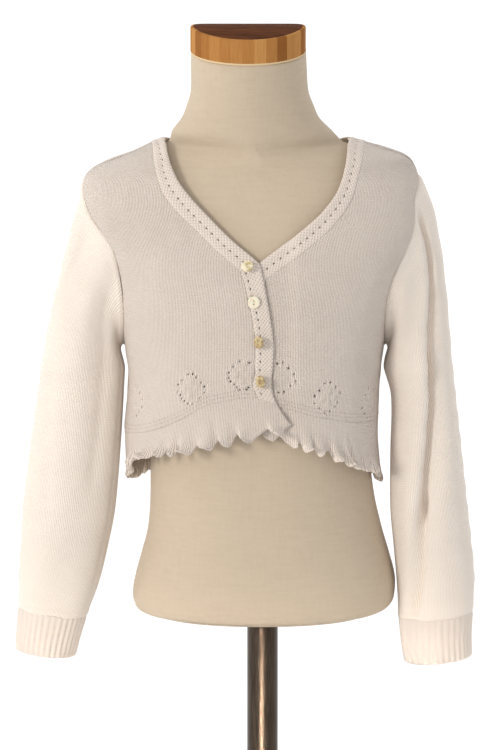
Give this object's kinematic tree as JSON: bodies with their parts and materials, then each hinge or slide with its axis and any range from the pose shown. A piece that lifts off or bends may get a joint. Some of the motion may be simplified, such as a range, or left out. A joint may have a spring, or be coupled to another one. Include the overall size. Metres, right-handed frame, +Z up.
{
  "type": "child's knitted cardigan on a dress form",
  "caption": "Cropped long-sleeved V-neck knit cardigan with ruffled hem, buttoned on a limbless child's dress form with pole and round foot.",
  "frame": {"origin": "centre of the foot's underside, on the floor, under the pole", "axes": "+Z up, the cardigan's front faces -Y, the wearer's left is +X"},
  "size_m": [0.3705, 0.26, 0.841],
  "materials": {
    "knit": "matte fine-gauge cotton knit",
    "linen": "matte linen cover",
    "cap_wood": "satin varnish",
    "stand_steel": "dark brushed",
    "shell": "pearly gloss"
  },
  "bodies": {
    "root": {"front_right": "knit", "front_left": "knit", "back": "knit", "neckband": "knit", "band_right": "knit", "band_left": "knit", "peplum_right": "knit", "peplum_left": "knit", "peplum_back": "knit", "sleeve_right": "knit", "sleeve_left": "knit", "cuff_right": "knit", "cuff_left": "knit", "button_1": "shell", "button_2": "shell", "button_3": "shell", "button_4": "shell", "form_body": "linen", "neck_cap": "cap_wood", "pole": "stand_steel", "pole_collar": "stand_steel", "foot": "stand_steel"}
  },
  "joints": []
}
